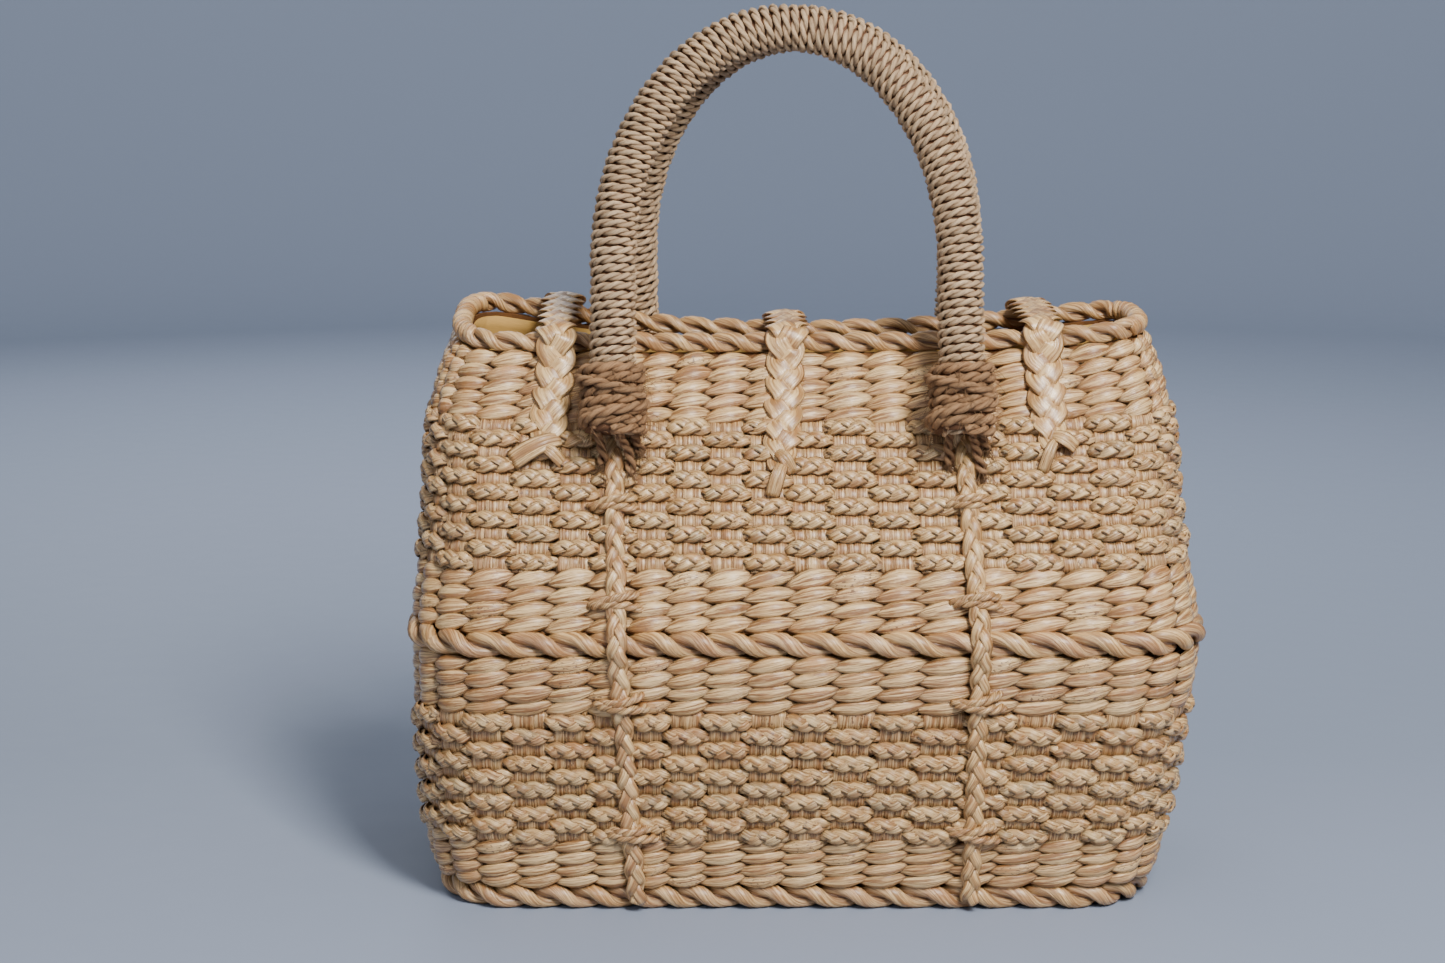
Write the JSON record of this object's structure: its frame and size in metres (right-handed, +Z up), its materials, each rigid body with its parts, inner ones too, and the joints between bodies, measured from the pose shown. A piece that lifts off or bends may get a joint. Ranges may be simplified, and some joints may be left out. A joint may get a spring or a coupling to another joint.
{
  "type": "woven straw handbag",
  "caption": "House-shaped woven straw handbag: a box below, a roof that narrows to a slit mouth, twine-wound arch handles, braided straps and tabs, and a cloth lining.",
  "frame": {"origin": "on the floor under the middle of the bag", "axes": "+Z up, +X along the bag's length, to the right as seen from the front, and the front towards -Y"},
  "size_m": [0.3074, 0.1712, 0.342],
  "materials": {
    "straw": "glossy dried stems, woven and twined",
    "braid": "glossy dried stems, braided",
    "twine": "matte two-ply twine",
    "lashing": "rough matte twine",
    "cloth": "matte plain cloth"
  },
  "bodies": {
    "root": {"base_panel": "straw", "bottom_border": "straw", "box_wall": "straw", "waist_border": "straw", "roof_wall": "straw", "rim_border": "straw", "lining": "cloth", "handle_front": "twine", "handle_back": "twine", "lashing_front_left": "lashing", "lashing_front_right": "lashing", "lashing_back_left": "lashing", "lashing_back_right": "lashing", "strap_front_left": "braid", "strap_front_right": "braid", "strap_back_left": "braid", "strap_back_right": "braid", "tab_left": "braid", "tab_centre": "braid", "tab_right": "braid"}
  },
  "joints": []
}
